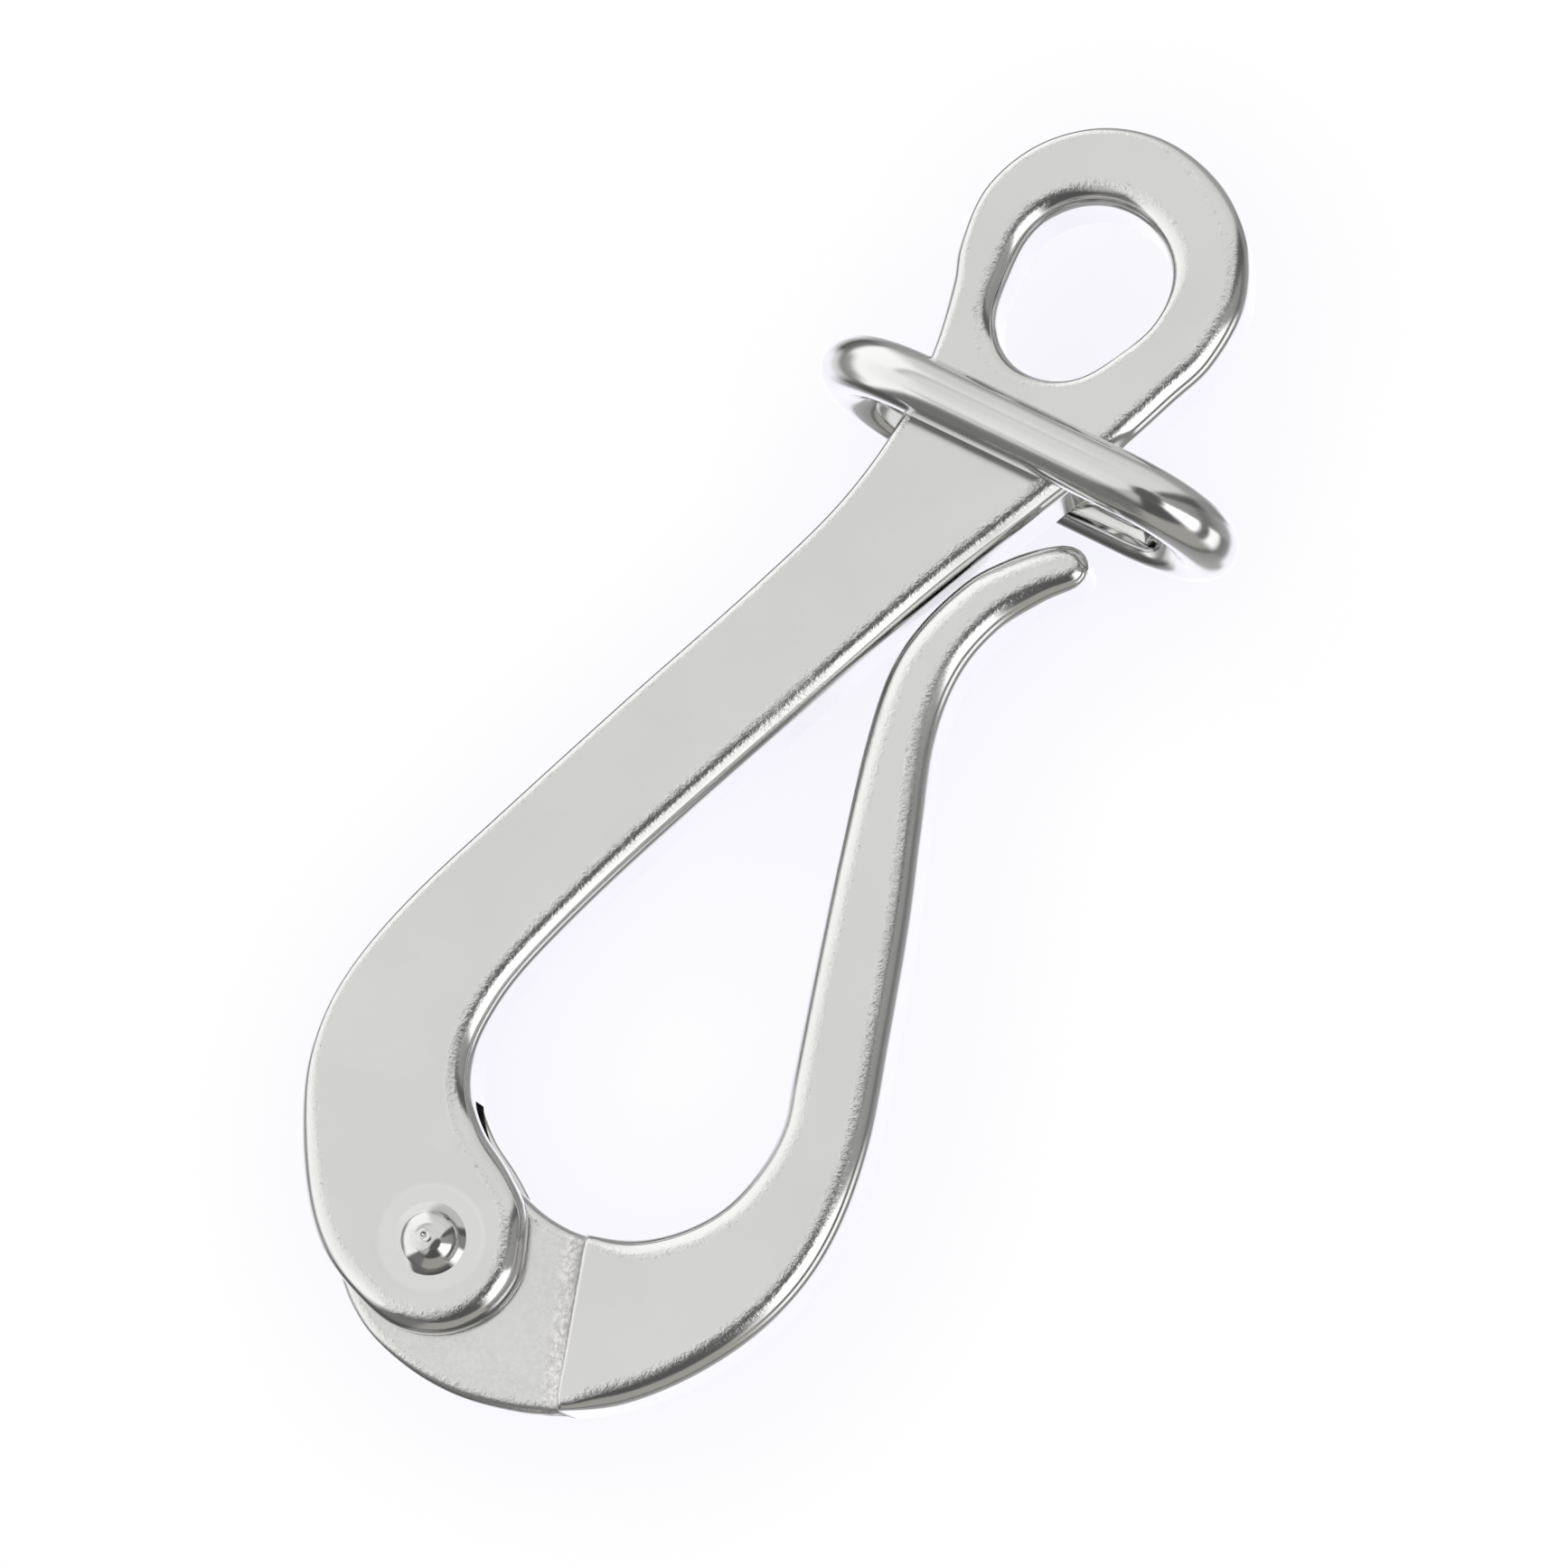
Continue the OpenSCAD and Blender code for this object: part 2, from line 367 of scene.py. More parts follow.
def shank_half(shape, p, slotted, radii, sign):
    """The shank's wall on one side, from the rim to the slot's edge, which is rounded at the slot's mouth."""
    ids, normals = half_wall(shape, p, HALF_T, radii, RIM, upright(len(p)), sign)
    n = outward(p)
    place = np.arange(len(p))
    share = np.clip(np.minimum(place, slotted - 1 - place) / SLOT_FADE, 0, 1)
    for rise in SLOT_RISES:
        cos, sin = math.cos(math.radians(rise)), math.sin(math.radians(rise))
        flat = p - n * (SLOT_EDGE_R * share * (1 - cos))[:, None]
        ids.append(shape.add(at_height(flat, sign * (SLOT_HALF + SLOT_EDGE_R * (1 - sin))), SLOT_WEAR))
        normals.append(unit(at_height(n * (1 - share * (1 - cos))[:, None], -sign * sin * share)))
    return ids, normals


def slot_root(start, end):
    """The round root of the slot that the tongue turns in, about the pivot from one point to the other."""
    angles = np.unwrap([math.atan2(start[1], start[0]), math.atan2(end[1], end[0])])
    sweep = np.linspace(angles[0], angles[1], ROOT_STEPS)
    reach = np.linspace(np.hypot(*start), np.hypot(*end), ROOT_STEPS)
    return np.column_stack([reach * np.cos(sweep), reach * np.sin(sweep)])


def eye_loop():
    """The eye's hole, clockwise: two round ends and the straight sides between them, softened."""
    wide, narrow = np.array(EYE_WIDE_C), np.array(EYE_NARROW_C)
    along = wide - narrow
    lean = math.degrees(math.atan2(along[1], along[0]))
    swing = math.degrees(math.acos((EYE_NARROW_R - EYE_WIDE_R) / np.linalg.norm(along)))
    loop = arc(wide, EYE_WIDE_R, lean + swing, lean - swing, EYE_WIDE_STEPS)
    loop += arc(narrow, EYE_NARROW_R, lean - swing, lean + swing - 360, EYE_NARROW_STEPS)
    return blurred(even(np.array(loop), SPACING), width=2)


# ---------------------------------------------------------------- the arm


def step_profile():
    """The step from the tongue to the arm's full thickness: (distance past the step line, height, normal)."""
    rows = []
    for a in np.radians(np.linspace(0, STEP_HOLLOW_RISE, STEP_HOLLOW_ROWS)):
        d = STEP_HOLLOW_R * (math.sin(a) - math.sin(math.radians(STEP_HOLLOW_RISE)))
        z = TONGUE_HALF + STEP_HOLLOW_R * (1 - math.cos(a))
        rows.append((d, z, (-math.sin(a), math.cos(a))))
    rows.append((STEP_FOOT, rows[-1][1] + STEP_EDGE_R / 2, (-1, 0)))
    for a in np.radians(np.linspace(0, 90, STEP_EDGE_ROWS)):
        d = STEP_DRAFT + STEP_EDGE_R * (1 - math.cos(a))
        z = HALF_T - STEP_EDGE_R * (1 - math.sin(a))
        rows.append((d, z, (-math.cos(a), math.sin(a))))
    return rows


def arm_stretches(across, steps):
    """The arm's outline in four stretches: the thick part, down the step, the tongue, and up the step again.

    across points past the step line, and steps are the distances past it of the points on the step."""
    control = ARM_OUTER + arc(TIP_C, TIP_R, -30, 115, 3) + ARM_INNER
    dense = blurred(even(closed_curve(control, per=40), SPACING / 6), width=3)
    past = (dense - STEP_IN) @ across
    low, high = steps[0], steps[-1]

    # Turn the loop so that it starts where the outer side comes out of the step
    start = [i for i in range(len(dense)) if past[i] > high >= past[i - 1]][0]
    dense, past = np.roll(dense, -start, 0), np.roll(past, -start)
    leaves = np.argmax(past <= high)
    tongue_from = np.argmax(past < low)
    enters = len(past) - np.argmax(past[::-1] < low)

    def crossing(first, last, wanted):
        """The curve's points between two places in it, at these distances past the step line."""
        piece, gone = dense[first:last], past[first:last]
        order = np.argsort(gone)
        return np.stack([np.interp(wanted, gone[order], piece[order, k]) for k in (0, 1)], 1)

    thick = even(dense[:leaves], SPACING, closed=False)[1:-1]
    down = crossing(leaves - 2, tongue_from + 2, steps[::-1])
    tongue = even(dense[tongue_from:enters], SPACING, closed=False)[1:-1]
    up = crossing(enters - 2, len(dense), steps)
    return thick, down, tongue, up


def make_arm(material):
    shape = Shape()
    line = unit(STEP_OUT - STEP_IN)
    across = np.array([-line[1], line[0]])  # towards the thick side
    profile = step_profile()
    steps = np.array([row[0] for row in profile])
    heights = np.array([row[1] for row in profile])
    tilts = np.array([[*(across * row[2][0]), row[2][1]] for row in profile])
    thick, down, tongue, up = arm_stretches(across, steps)
    p = np.vstack([thick, down, tongue, up])
    thick_end = len(thick)
    tongue_start = thick_end + len(down)
    tongue_end = tongue_start + len(tongue)

    thick_halves, tongue_halves = np.full(len(thick), HALF_T), np.full(len(tongue), TONGUE_HALF)
    halves = np.concatenate([thick_halves, heights[::-1], tongue_halves, heights])
    tops = np.vstack([upright(len(thick)), tilts[::-1], upright(len(tongue)), tilts])
    place = np.arange(thick_end)
    from_step = np.minimum(place, place[::-1]) * SPACING
    taper = np.sin(np.clip(from_step / STEP_TAPER, 0, 1) * math.pi / 2)
    radii = roundings(p, EDGE_R)
    radii[:thick_end] = TONGUE_EDGE_R + (radii[:thick_end] - TONGUE_EDGE_R) * taper
    radii[thick_end:] = TONGUE_EDGE_R
    rims = np.clip(blurred(np.where(radii < TONGUE_EDGE_R, NARROW_RIM, RIM), width=5), NARROW_RIM, RIM)
    low, high = steps[0], steps[-1]
    skin_at = [low, low * CAST_FROM, low * CAST_TO, 0, high]
    # Above 1, at the step's corner, the share is painted shade that darkens the crease.
    hollow = np.interp(steps, skin_at, [TONGUE_CAST, 1, 1, CORNER_CAST_AND_SHADE, 0])
    cast = np.concatenate([np.zeros(len(thick)), hollow[::-1], np.full(len(tongue), TONGUE_CAST), hollow])
    ids = whole_wall(shape, p, halves, radii, rims, tops, cast)

    holes = bore(shape, BORE_R, (TONGUE_HALF, -TONGUE_HALF))
    for level, sign in ((0, 1), (-1, -1)):
        shape.flat([[ids[-1, level], *ids[:thick_end + 1, level]]], sign)
        shape.flat([ids[tongue_start - 1:tongue_end + 1, level], holes[level]], sign)
        ends = np.stack([ids[thick_end:tongue_start, level][::-1], ids[tongue_end:, level]], 1)
        shape.grid(ends[:, ::sign], np.stack([tilts, tilts], 1) * [1, 1, sign], wrap=False)
    shape.build("arm_hook", "arm", "hook_arm", material)


# ---------------------------------------------------------------- the rivet and the ring


def head_height(r):
    """A head's height above the plate at this radius: a dome with a small punch mark in the middle."""
    mark = PUNCH_DEPTH * math.exp(-((r / PUNCH_R) ** 2))
    lip = LIP_H * math.exp(-(((r - LIP_R) / LIP_WIDTH) ** 2))
    return HEAD_H * (1 - (r / HEAD_R) ** HEAD_BULGE) - mark + lip


def make_rivet(material):
    shape = Shape()
    radii = np.concatenate([np.linspace(*MARK_RINGS), np.linspace(*DOME_RINGS)])
    rows = np.array([(r, HALF_T + head_height(r)) for r in radii])
    slope = np.gradient(rows, axis=0)
    tilts = unit(np.column_stack([-slope[:, 1], slope[:, 0]]))
    angles = np.linspace(0, 2 * math.pi, HEAD_STEPS, endpoint=False)
    turned = np.column_stack([np.cos(angles), np.sin(angles)])

    def loop(r, z):
        return shape.add(at_height(turned * r, z), HEAD_WEAR)

    necks = []
    for sign in (1, -1):
        ids = [loop(r, sign * z) for r, z in rows]
        normals = [at_height(turned * nr, sign * nz) for nr, nz in tilts]
        necks.append(loop(SHAFT_R, sign * HALF_T))
        shape.flat([ids[0]], sign)
        shape.grid(np.stack(ids[::sign], 1), np.stack(normals[::sign], 1))
        under = [ids[-1], necks[-1]]
        shape.grid(np.stack(under[::sign], 1), np.stack([at_height(0 * turned, -sign)] * 2, 1))
    shape.grid(np.stack(necks, 1), np.stack([at_height(turned, 0)] * 2, 1))
    shape.build("rivet_domed", "shank", "pivot_rivet", material)


def make_ring(material):
    shape = Shape()
    centre = np.mean(boxes["lock_ring"], axis=0)
    half_run, half_h = RING_RUN / 2, RING_H / 2
    run = np.linspace(half_run, -half_run, RING_RUN_STEPS + 1)[:-1]
    line = np.array(
        arc((half_run, 0), half_h, -90, 90, RING_BEND_STEPS)[:-1] + [(x, half_h) for x in run]
        + arc((-half_run, 0), half_h, 90, 270, RING_BEND_STEPS)[:-1] + [(-x, -half_h) for x in run]
    )
    plane = np.array([[1, 0, 0], [0, math.sin(RING_LEAN), math.cos(RING_LEAN)]])
    side = np.array([0, -math.cos(RING_LEAN), math.sin(RING_LEAN)])
    out = unit(blurred(outward(line), width=2)) @ plane
    ids, normals = [], []
    for t in np.linspace(0, -2 * math.pi, WIRE_STEPS, endpoint=False):
        around = out * math.cos(t) + side * math.sin(t)
        ids.append(shape.add(line @ plane + centre + around * WIRE_R, RING_WEAR))
        normals.append(around)
    shape.grid(np.stack(ids + ids[:1], 1), np.stack(normals + normals[:1], 1))
    shape.build("ring_wire", "ring", "lock_ring", material)


# ---------------------------------------------------------------- materials

STEEL, RIVET_STEEL = (0.80, 0.80, 0.79), (0.78, 0.78, 0.77)
CAST_DARK, CAST_LIGHT = (0.56, 0.55, 0.545), (0.86, 0.85, 0.845)
# The dark of the pits, and of the painted shade in the step's corner
PIT_AND_SHADE_TINT = (0.34, 0.33, 0.31)
CLOUD_SHADE, HALO_SHADE = 0.965, 1.022  # of the steel's own tint
SPECKLE_COVER, CORNER_SHADE_COVER, PIT_COVER = 0.85, 0.7, 0.3  # how fully each hides the tint

WAVE_SCALE, CLOUD_SCALE, GRAIN_SCALE, PIT_SCALE = 230, 95, 2800, 3600  # of the noises, per metre
SCUFF_SIZE = (6 * MM, 0.18 * MM, 0.18 * MM)  # how far the scuffs' noise is drawn out each way
PIT_NOISE = (0.66, 0.72)  # the noise at which a pit begins, and at which it has its full depth

SCUFF_ROUGH, PIT_ROUGH, CAST_ROUGH, RUB_ROUGH = 0.05, 0.25, 0.32, 0.08  # added to the roughness
BUMP_UNIT = 0.02 * MM
WAVE_BUMP, SCUFF_BUMP, PIT_BUMP, HALO_BUMP = 0.6, 0.05, 0.2, 0.8  # heights and depths, in that unit
# The grain's height on plain steel and on a worn edge, and what rough cast skin and the ring's track add
# to it, in the same unit and before the piece's own factor
FLAT_GRAIN, EDGE_GRAIN, CAST_GRAIN, RUB_GRAIN = 0.03, 3.6, 1.8, 0.9

TRACK_HALF, TRACK_FADED = 1.5 * MM, 4.5 * MM  # half the rubbed track's width, and where it has faded out
HALO_R, HALO_FADED = 3.6 * MM, 4.1 * MM


class Nodes:
    """A small helper for wiring shader nodes."""

    def __init__(self, tree):
        self.tree = tree

    def node(self, kind, **settings):
        made = self.tree.nodes.new(kind)
        for key, value in settings.items():
            setattr(made, key, value)
        return made

    def link(self, out, into):
        self.tree.links.new(out, into)

    def put(self, value, socket):
        if isinstance(value, bpy.types.NodeSocket):
            self.link(value, socket)
        else:
            socket.default_value = value

    def math(self, operation, a, b=0.0):
        made = self.node("ShaderNodeMath", operation=operation)
        self.put(a, made.inputs[0])
        self.put(b, made.inputs[1])
        return made.outputs[0]

    def plus(self, total, value, times):
        """total, with value added to it this many times."""
        return self.math("ADD", total, self.math("MULTIPLY", value, times))

    def vector(self, operation, a, b=None):
        made = self.node("ShaderNodeVectorMath", operation=operation)
        self.put(a, made.inputs[0])
        if b is not None:
            self.put(b, made.inputs[1])
        return made.outputs["Value" if operation in ("DOT_PRODUCT", "LENGTH") else "Vector"]

    def dot(self, a, b):
        return self.vector("DOT_PRODUCT", a, b)

    def stretched(self, where, angle, size):
        """Coordinates that draw noise out along a line at this angle to X."""
        made = self.node("ShaderNodeMapping", vector_type="TEXTURE")
        made.inputs["Rotation"].default_value = (0, 0, math.radians(angle))
        made.inputs["Scale"].default_value = size
        self.put(where, made.inputs["Vector"])
        return made.outputs["Vector"]

    def noise(self, where, scale, detail=2.0, roughness=0.5):
        made = self.node("ShaderNodeTexNoise")
        self.put(where, made.inputs["Vector"])
        made.inputs["Scale"].default_value = scale
        made.inputs["Detail"].default_value = detail
        made.inputs["Roughness"].default_value = roughness
        return made.outputs["Fac"]

    def span(self, value, low, high, to_low=0.0, to_high=1.0):
        """value moved from the range low to high into another range, and held there."""
        made = self.node("ShaderNodeMapRange", clamp=True, interpolation_type="SMOOTHSTEP")
        sockets = ("Value", "From Min", "From Max", "To Min", "To Max")
        for socket, given in zip(sockets, (value, low, high, to_low, to_high)):
            self.put(given, made.inputs[socket])
        return made.outputs["Result"]

    def ramp(self, value, stops):
        made = self.node("ShaderNodeValToRGB")
        made.color_ramp.interpolation = "EASE"
        while len(made.color_ramp.elements) < len(stops):
            made.color_ramp.elements.new(0.5)
        for element, (at, shade) in zip(made.color_ramp.elements, stops):
            element.position = at
            colour = shade if isinstance(shade, tuple) else (shade, shade, shade)
            element.color = (*colour, 1)
        self.put(value, made.inputs["Fac"])
        return made.outputs["Color"]

    def mix(self, share, a, b):
        made = self.node("ShaderNodeMix", data_type="RGBA")
        self.put(share, made.inputs["Factor"])
        self.put(a, made.inputs["A"])
        self.put(b, made.inputs["B"])
        return made.outputs["Result"]


def polished(name, tint, roughness, grain, draw_angle, halo=False, rub=False):
    """Polished cast steel: faint waviness and drawn scuffs, fine grain and pits along the rounded edges,
    and a rougher cast skin where the mesh says so."""
    material = bpy.data.materials.new(name)
    material.use_nodes = True
    nodes = Nodes(material.node_tree)
    maps = steel_maps(nodes, draw_angle, halo, rub)
    shader = material.node_tree.nodes["Principled BSDF"]
    shader.inputs["Metallic"].default_value = 1.0
    nodes.link(steel_colour(nodes, maps, tint), shader.inputs["Base Color"])
    nodes.link(steel_roughness(nodes, maps, roughness), shader.inputs["Roughness"])
    nodes.link(steel_bump(nodes, maps, grain), shader.inputs["Normal"])
    return material


def steel_maps(nodes, draw_angle, halo, rub):
    """The noises and masks that the steel's colour, roughness and bump share."""
    where = nodes.node("ShaderNodeTexCoord").outputs["Object"]
    edge = nodes.node("ShaderNodeAttribute", attribute_name="edge").outputs["Fac"]
    cast = nodes.node("ShaderNodeAttribute", attribute_name="cast").outputs["Fac"]
    cloud = nodes.noise(where, CLOUD_SCALE, detail=3, roughness=0.6)
    pits = nodes.span(nodes.noise(where, PIT_SCALE, detail=1, roughness=0.4), *PIT_NOISE)
    maps = {
        "edge": edge,
        "cast": cast,
        "cloud": cloud,
        "waves": nodes.noise(where, WAVE_SCALE),
        "grain": nodes.noise(where, GRAIN_SCALE, detail=3, roughness=0.7),
        "scuffs": nodes.noise(nodes.stretched(where, draw_angle, SCUFF_SIZE), scale=1),
        "pits": nodes.math("MULTIPLY", pits, nodes.span(edge, 0.6, 0.95)),
    }
    if halo:
        maps["pressed"] = rivet_halo(nodes, where)
    if rub:
        patchy = nodes.span(cloud, 0.3, 0.6, 0.4, 1.0)
        maps["rubbed"] = nodes.math("MULTIPLY", ring_track(nodes, where), patchy)
    return maps


def steel_colour(nodes, maps, tint):
    """The tint with dull clouds, speckled cast skin, painted shade in the step's corner and dark pits."""
    colour = nodes.mix(nodes.span(maps["cloud"], 0.35, 0.65), opaque(tint, CLOUD_SHADE), opaque(tint))
    speckle = nodes.mix(nodes.span(maps["grain"], 0.38, 0.62), opaque(CAST_DARK), opaque(CAST_LIGHT))
    colour = nodes.mix(nodes.span(maps["cast"], 0.0, 1.0, 0.0, SPECKLE_COVER), colour, speckle)
    # Painted shade: the step's corner darkens towards the pit tint where the cast share passes 1
    corner_shade = nodes.span(maps["cast"], 1.02, CORNER_CAST_AND_SHADE, 0.0, CORNER_SHADE_COVER)
    colour = nodes.mix(corner_shade, colour, opaque(PIT_AND_SHADE_TINT))
    if "pressed" in maps:
        colour = nodes.mix(maps["pressed"], colour, opaque(tint, HALO_SHADE))
    return nodes.mix(nodes.math("MULTIPLY", maps["pits"], PIT_COVER), colour, opaque(PIT_AND_SHADE_TINT))


def opaque(tint, shade=1):
    return tuple(shade * c for c in tint) + (1,)


def steel_roughness(nodes, maps, roughness):
    """A little cloudy, and rougher where the steel is scuffed, pitted, rough cast or rubbed by the ring."""
    total = nodes.span(maps["cloud"], 0.3, 0.7, roughness * 0.85, roughness * 1.2)
    total = nodes.math("ADD", total, nodes.span(maps["scuffs"], 0.5, 0.8, 0.0, SCUFF_ROUGH))
    total = nodes.plus(total, maps["pits"], PIT_ROUGH)
    total = nodes.plus(total, maps["cast"], CAST_ROUGH)
    return nodes.plus(total, maps["rubbed"], RUB_ROUGH) if "rubbed" in maps else total


def steel_bump(nodes, maps, grain):
    """Low waves, scuffs, pits, and grain that is coarser on worn edges, cast skin and the ring's track."""
    coarse = nodes.span(maps["edge"], 0.3, 0.95, FLAT_GRAIN, EDGE_GRAIN)
    coarse = nodes.plus(coarse, maps["cast"], CAST_GRAIN)
    if "rubbed" in maps:
        coarse = nodes.plus(coarse, maps["rubbed"], RUB_GRAIN)
    centred_grain = nodes.math("SUBTRACT", maps["grain"], 0.5)
    height = nodes.math("MULTIPLY", maps["waves"], WAVE_BUMP)
    height = nodes.plus(height, maps["scuffs"], SCUFF_BUMP)
    height = nodes.plus(height, nodes.math("MULTIPLY", centred_grain, coarse), grain)
    height = nodes.plus(height, maps["pits"], -PIT_BUMP)
    if "pressed" in maps:
        height = nodes.plus(height, maps["pressed"], -HALO_BUMP)
    bump = nodes.node("ShaderNodeBump")
    bump.inputs["Strength"].default_value = 1.0
    bump.inputs["Distance"].default_value = BUMP_UNIT
    nodes.link(height, bump.inputs["Height"])
    return bump.outputs["Normal"]


def ring_track(nodes, where):
    """1 under the ring's locked place, where it has rubbed the plates, fading out to either side."""
    slide = joints["ring_slide"]
    low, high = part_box("lock_ring")
    locked_y = slide["axis"][1] * slide["range_m"][0] + (low[1] + high[1]) / 2
    along = nodes.math("SUBTRACT", nodes.dot(where, (0, 1, 0)), locked_y)
    return nodes.span(nodes.math("ABSOLUTE", along), TRACK_HALF, TRACK_FADED, 1.0, 0.0)


def rivet_halo(nodes, where):
    """1 in a round patch about the rivet, pressed into the cheek when its head was formed."""
    away = nodes.vector("SUBTRACT", where, tuple(pivot * MM))
    radius = nodes.vector("LENGTH", nodes.vector("MULTIPLY", away, (1, 1, 0)))
    return nodes.span(radius, HALO_R, HALO_FADED, 1.0, 0.0)


# ---------------------------------------------------------------- camera, studio light and floor

CAMERA_AWAY = Vector((0.2232, -0.0905, 0.9706)).normalized()  # from the object to the camera
CAMERA_TURN = math.radians(26.3)  # of the object's +X from the picture's right
CAMERA_DISTANCE = 467 * MM
CAMERA_LENS = 152.1
LOOK_AT = Vector((7.34, 39.82, 3.75))  # about the pivot, mm
WHITE = (1, 1, 1, 1)
TABLE = (1.12, 1.11, 1.2)  # the pale table, as the metal mirrors it
WARM = (0.40, 0.39, 0.36)
DARK_SPOT = Vector((0.12, -0.12, 1)).normalized()  # the way to it: right, up and towards the camera
DARK_SPOT_WHOLE, DARK_SPOT_GONE = math.radians(13), math.radians(21)  # from its middle
DARK_SPOT_SHADE = (0.12, 0.12, 0.12, 1)
FLOOR_GAP = 0.05 * MM  # under the object's lowest point
FLOOR_SHADE, FLOOR_SHADE_REACH = (0.88, 0.87, 0.96, 1), 14 * MM


def make_camera():
    data = bpy.data.cameras.new("camera")
    data.sensor_width, data.lens = 36, CAMERA_LENS
    data.clip_start, data.clip_end = 0.01, 10
    camera = bpy.data.objects.new("camera", data)
    right = Vector((math.cos(CAMERA_TURN), math.sin(CAMERA_TURN), 0))
    right = (right - CAMERA_AWAY * right.dot(CAMERA_AWAY)).normalized()
    up = CAMERA_AWAY.cross(right)
    turn = Matrix((right, up, CAMERA_AWAY)).transposed()
    target = (Vector(pivot) + LOOK_AT) * MM
    camera.matrix_world = Matrix.Translation(target + CAMERA_AWAY * CAMERA_DISTANCE) @ turn.to_4x4()
    bpy.context.scene.collection.objects.link(camera)
    bpy.context.scene.camera = camera
    return right, up


def make_studio(right, up):
    """The light that the metal mirrors: a tent of pale and dark panels round the object, fixed in the scene.

    The ramps run by tilt: half the angle between a direction and the way to the rest view's camera."""
    world = bpy.data.worlds.new("studio")
    bpy.context.scene.world = world
    world.use_nodes = True
    world.node_tree.nodes.clear()
    nodes = Nodes(world.node_tree)
    way = nodes.node("ShaderNodeTexCoord").outputs["Generated"]
    side = nodes.dot(way, tuple(right))
    rise = nodes.dot(way, tuple(up))
    front = nodes.dot(way, tuple(CAMERA_AWAY))
    tilt = nodes.math("DIVIDE", nodes.math("ARCCOSINE", front), math.pi)
    flat = nodes.math("SQRT", nodes.math("SUBTRACT", 1.0, nodes.math("MULTIPLY", front, front)))
    flat = nodes.math("MAXIMUM", flat, 1e-4)

    def by_tilt(stops):
        return nodes.ramp(tilt, [(degrees / 90, shade) for degrees, shade in stops])

    def panel(light, bearing, inner, outer, stops):
        """The light with a panel over it: whole within the inner angle of its bearing, gone by the outer."""
        across = nodes.math("MULTIPLY", side, math.cos(math.radians(bearing)))
        along = nodes.plus(across, rise, math.sin(math.radians(bearing)))
        cosine = nodes.math("DIVIDE", along, flat)
        share = nodes.span(cosine, math.cos(math.radians(outer)), math.cos(math.radians(inner)))
        return nodes.mix(share, light, by_tilt(stops))

    light = by_tilt([
        (0, 0.81), (18, 0.81), (22, 0.62), (26, 1.15), (50, 1.2), (56, 0.2), (63, 0.12), (69, 0.7),
        (74, TABLE),
    ])
    light = panel(light, bearing=175, inner=15, outer=38, stops=[
        (0, 0.85), (12, 0.86), (20, 1.0), (44, 1.15), (52, 0.35), (56, 0.3), (62, 0.8), (69, TABLE),
    ])
    light = panel(light, bearing=62, inner=22, outer=45, stops=[
        (0, 0.8), (20, 0.82), (40, 0.75), (52, 0.4), (66, 0.36), (74, 0.6), (80, TABLE),
    ])
    light = panel(light, bearing=22, inner=6, outer=16, stops=[
        (10, 0.5), (18, 0.14), (44, 0.12), (52, 0.3), (66, 0.3), (74, TABLE),
    ])
    light = panel(light, bearing=0, inner=12, outer=20, stops=[
        (8, 0.2), (14, 0.38), (34, 0.32), (40, 0.2), (60, 0.4), (70, TABLE),
    ])
    light = panel(light, bearing=-38, inner=20, outer=30, stops=[
        (8, 0.3), (13, 1.5), (33, 1.6), (37, 0.15), (41, 0.12), (44, 1.3), (49, 1.2), (54, 0.2), (60, 0.3),
        (67, TABLE),
    ])
    light = panel(light, bearing=-95, inner=33, outer=52, stops=[
        (0, 0.1), (27, 0.1), (32, WARM), (48, WARM), (52, 0.16), (56, 0.35), (68, 0.45), (74, TABLE),
    ])
    light = panel(light, bearing=-128, inner=10, outer=22, stops=[
        (0, 0.4), (16, 0.55), (26, 0.16), (32, 0.2), (44, 0.2), (56, 0.1), (62, 0.1), (68, 0.35), (74, TABLE),
    ])
    near = nodes.dot(way, tuple(DARK_SPOT[0] * right + DARK_SPOT[1] * up + DARK_SPOT[2] * CAMERA_AWAY))
    dark = nodes.span(near, math.cos(DARK_SPOT_GONE), math.cos(DARK_SPOT_WHOLE))
    light = nodes.mix(dark, light, DARK_SPOT_SHADE)

    # The camera itself sees plain white behind the object
    shown = nodes.node("ShaderNodeLightPath").outputs["Is Camera Ray"]
    light = nodes.mix(shown, light, WHITE)
    background = nodes.node("ShaderNodeBackground")
    nodes.link(light, background.inputs["Color"])
    output = nodes.node("ShaderNodeOutputWorld")
    nodes.link(background.outputs[0], output.inputs["Surface"])


def make_floor():
    """A plain white floor just under the object, a little darker where the object shades it.

    It isn't there from below, and the metal mirrors the tent instead."""
    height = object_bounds()[0][2] - FLOOR_GAP
    corners = [(x, y, height) for x, y in ((-1, -1), (1, -1), (1, 1), (-1, 1))]
    mesh = bpy.data.meshes.new("floor")
    mesh.from_pydata(corners, [], [(0, 1, 2, 3)])
    floor = bpy.data.objects.new("floor", mesh)
    floor.visible_glossy = False
    bpy.context.scene.collection.objects.link(floor)
    material = bpy.data.materials.new("floor_white")
    material.use_nodes = True
    material.node_tree.nodes.clear()
    nodes = Nodes(material.node_tree)
    open_sky = nodes.node("ShaderNodeAmbientOcclusion", samples=16)
    open_sky.inputs["Distance"].default_value = FLOOR_SHADE_REACH
    paper = nodes.node("ShaderNodeEmission")
    nodes.link(nodes.mix(open_sky.outputs["AO"], FLOOR_SHADE, WHITE), paper.inputs["Color"])
    clear = nodes.node("ShaderNodeBsdfTransparent")
    behind = nodes.node("ShaderNodeNewGeometry").outputs["Backfacing"]
    pick = nodes.node("ShaderNodeMixShader")
    nodes.link(behind, pick.inputs[0])
    nodes.link(paper.outputs[0], pick.inputs[1])
    nodes.link(clear.outputs[0], pick.inputs[2])
    output = nodes.node("ShaderNodeOutputMaterial")
    nodes.link(pick.outputs[0], output.inputs["Surface"])
    mesh.materials.append(material)


# ---------------------------------------------------------------- the scene

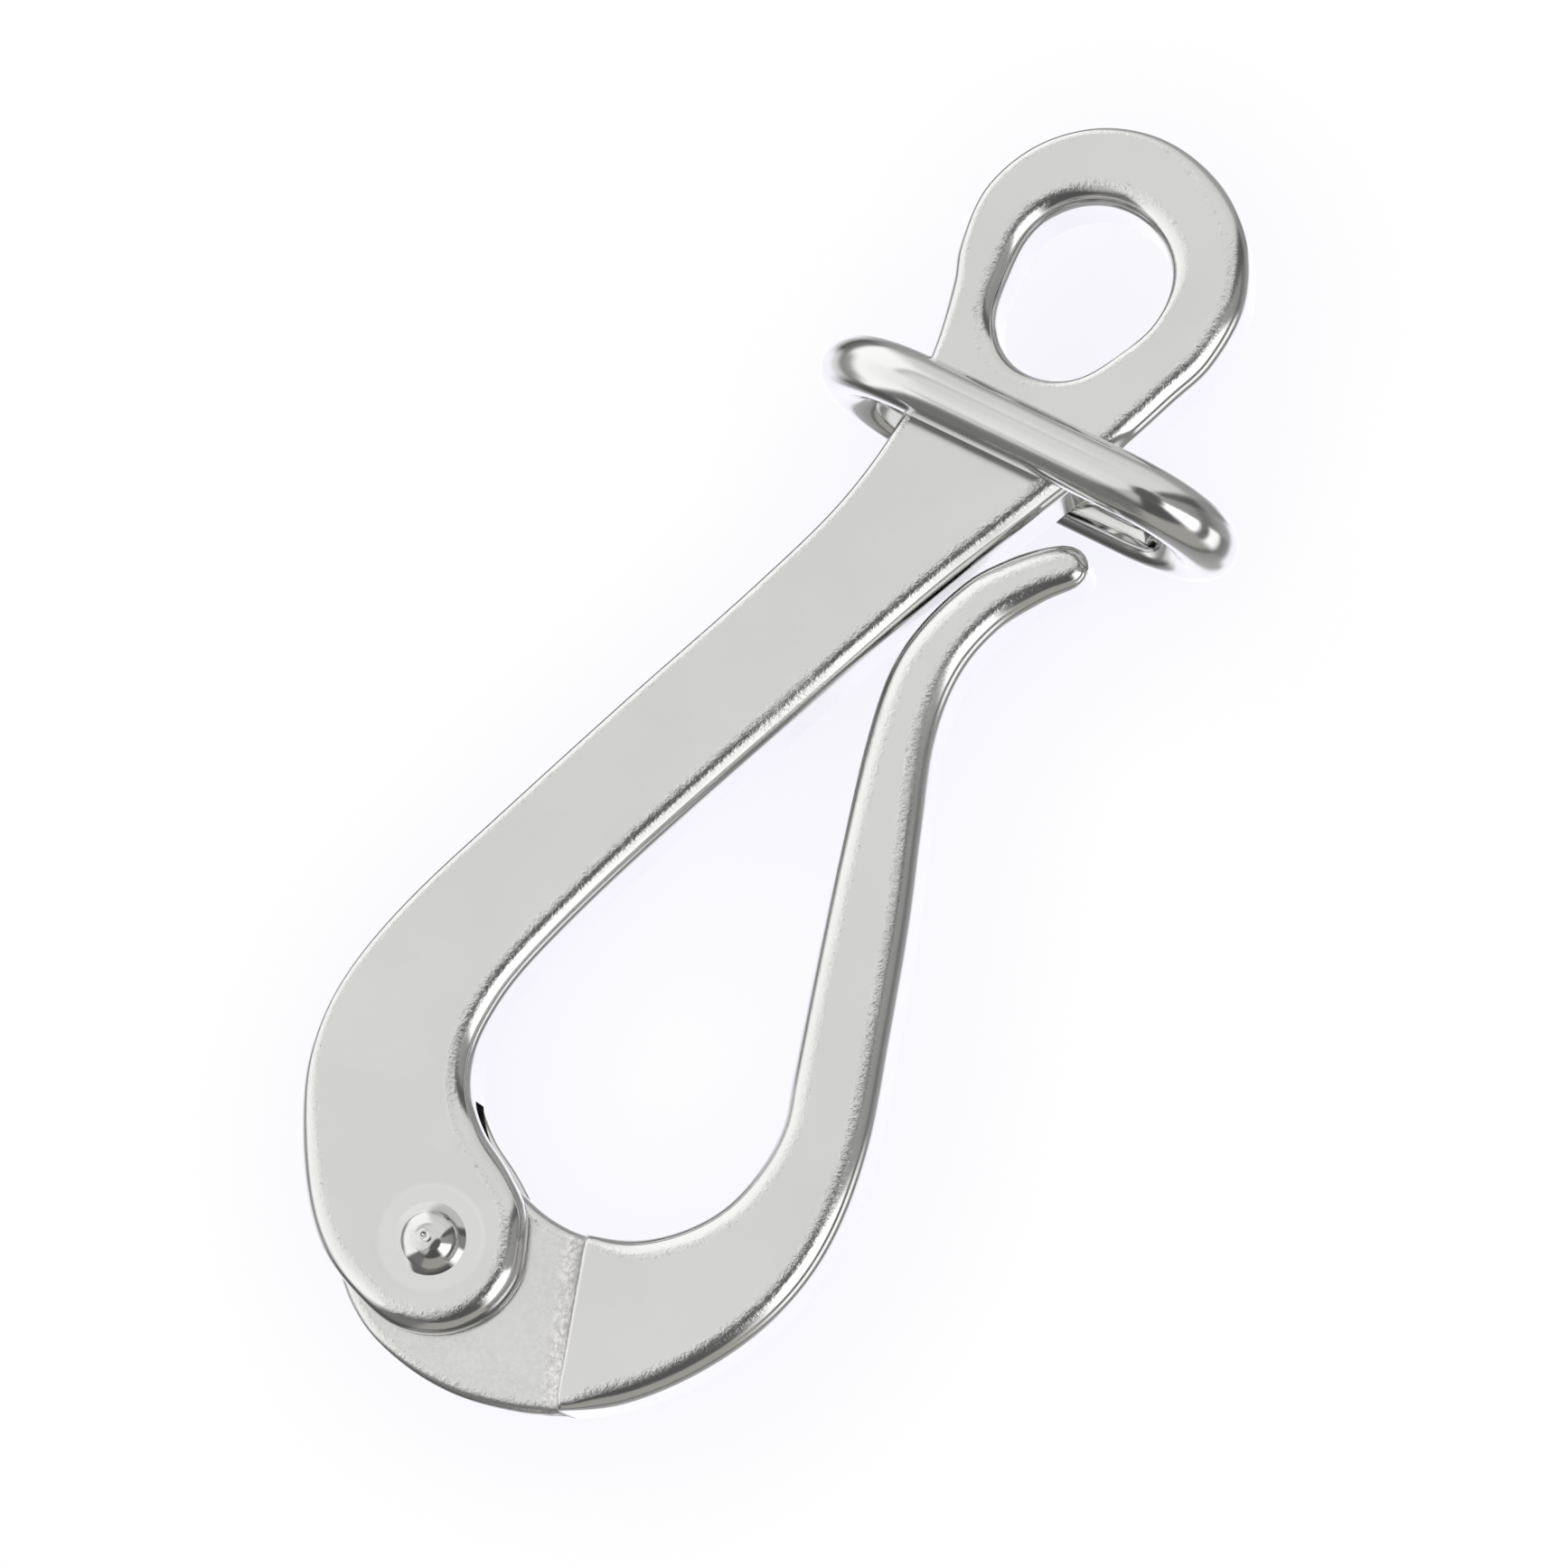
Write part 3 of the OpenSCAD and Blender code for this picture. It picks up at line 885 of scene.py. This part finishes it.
make_shank(polished("polished_shank", STEEL, roughness=0.12, grain=1.0, draw_angle=72, halo=True, rub=True))
make_arm(polished("polished_arm", STEEL, roughness=0.13, grain=1.0, draw_angle=80, rub=True))
make_rivet(polished("polished_rivet", RIVET_STEEL, roughness=0.08, grain=0.5, draw_angle=30))
make_ring(polished("polished_ring", STEEL, roughness=0.11, grain=0.4, draw_angle=0))
make_studio(*make_camera())
make_floor()
bpy.context.scene.view_settings.view_transform = "Standard"
